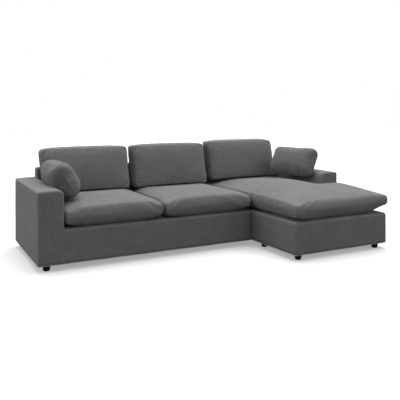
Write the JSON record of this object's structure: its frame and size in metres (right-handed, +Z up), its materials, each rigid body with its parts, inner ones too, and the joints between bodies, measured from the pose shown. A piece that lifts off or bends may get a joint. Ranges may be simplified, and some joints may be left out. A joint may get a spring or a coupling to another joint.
{
  "type": "corner sofa",
  "caption": "Corner sofa in grey fabric: a seat unit and a chaise unit hooked together, an arm at each end, loose seat, back and scatter cushions, short round feet.",
  "frame": {"origin": "on the floor, under the middle of the whole sofa", "axes": "+X along the sofa towards the chaise, +Y from the front to the back, +Z up"},
  "size_m": [2.75, 1.54, 0.8522],
  "materials": {
    "upholstery": "matte",
    "lining": "matte",
    "foam": "matte",
    "wadding": "matte",
    "webbing": "matte",
    "softwood": "matte",
    "plywood": "matte",
    "hardboard": "satin",
    "foot_plastic": "satin",
    "steel": "satin"
  },
  "bodies": {
    "sofa_unit": {"sofa_long_boards": "softwood", "sofa_end_boards": "softwood", "sofa_cross_rails": "softwood", "sofa_foot_blocks": "softwood", "sofa_seat_belts": "webbing", "sofa_deck_pad": "foam", "sofa_base_wadding": "wadding", "sofa_dust_cover": "lining", "sofa_back_posts": "softwood", "sofa_back_rails": "softwood", "sofa_back_belts": "webbing", "sofa_back_panel": "hardboard", "sofa_back_foam": "foam", "left_arm_panels": "plywood", "left_arm_posts": "softwood", "left_arm_cap": "plywood", "left_arm_foam": "foam", "sofa_cover": "upholstery", "sofa_feet": "foot_plastic", "sofa_foot_studs": "steel", "sofa_insert_nuts": "steel", "sofa_sockets": "steel"},
    "chaise_unit": {"chaise_long_boards": "softwood", "chaise_end_boards": "softwood", "chaise_cross_rails": "softwood", "chaise_foot_blocks": "softwood", "chaise_seat_belts": "webbing", "chaise_deck_pad": "foam", "chaise_base_wadding": "wadding", "chaise_dust_cover": "lining", "chaise_back_posts": "softwood", "chaise_back_rails": "softwood", "chaise_back_belts": "webbing", "chaise_back_panel": "hardboard", "chaise_back_foam": "foam", "right_arm_panels": "plywood", "right_arm_posts": "softwood", "right_arm_cap": "plywood", "right_arm_foam": "foam", "chaise_cover": "upholstery", "chaise_feet": "foot_plastic", "chaise_foot_studs": "steel", "chaise_insert_nuts": "steel", "chaise_tongues": "steel"},
    "seat_left": {"seat_left_case": "upholstery", "seat_left_core": "foam"},
    "seat_middle": {"seat_middle_case": "upholstery", "seat_middle_core": "foam"},
    "chaise_cushion": {"chaise_cushion_case": "upholstery", "chaise_cushion_core": "foam"},
    "back_left": {"back_left_case": "upholstery", "back_left_core": "foam"},
    "back_middle": {"back_middle_case": "upholstery", "back_middle_core": "foam"},
    "back_right": {"back_right_case": "upholstery", "back_right_core": "foam"},
    "scatter_left": {"scatter_left_case": "upholstery", "scatter_left_pad": "wadding"},
    "scatter_right": {"scatter_right_case": "upholstery", "scatter_right_pad": "wadding"}
  },
  "joints": [
    {"name": "chaise_lift", "type": "slide", "parent": "sofa_unit", "child": "chaise_unit", "axis": [0, 0, 1], "range_m": [0, 0.06]},
    {"name": "seat_left_lift", "type": "slide", "parent": "sofa_unit", "child": "seat_left", "axis": [0, 0, 1], "range_m": [0, 0.3]},
    {"name": "seat_middle_lift", "type": "slide", "parent": "sofa_unit", "child": "seat_middle", "axis": [0, 0, 1], "range_m": [0, 0.3]},
    {"name": "chaise_cushion_lift", "type": "slide", "parent": "chaise_unit", "child": "chaise_cushion", "axis": [0, 0, 1], "range_m": [0, 0.3]},
    {"name": "back_left_lift", "type": "slide", "parent": "seat_left", "child": "back_left", "axis": [0, 0, 1], "range_m": [0, 0.3]},
    {"name": "back_middle_lift", "type": "slide", "parent": "seat_middle", "child": "back_middle", "axis": [0, 0, 1], "range_m": [0, 0.3]},
    {"name": "back_right_lift", "type": "slide", "parent": "chaise_cushion", "child": "back_right", "axis": [0, 0, 1], "range_m": [0, 0.3]},
    {"name": "scatter_left_lift", "type": "slide", "parent": "seat_left", "child": "scatter_left", "axis": [0, 0, 1], "range_m": [0, 0.25]},
    {"name": "scatter_right_lift", "type": "slide", "parent": "chaise_cushion", "child": "scatter_right", "axis": [0, 0, 1], "range_m": [0, 0.25]}
  ]
}
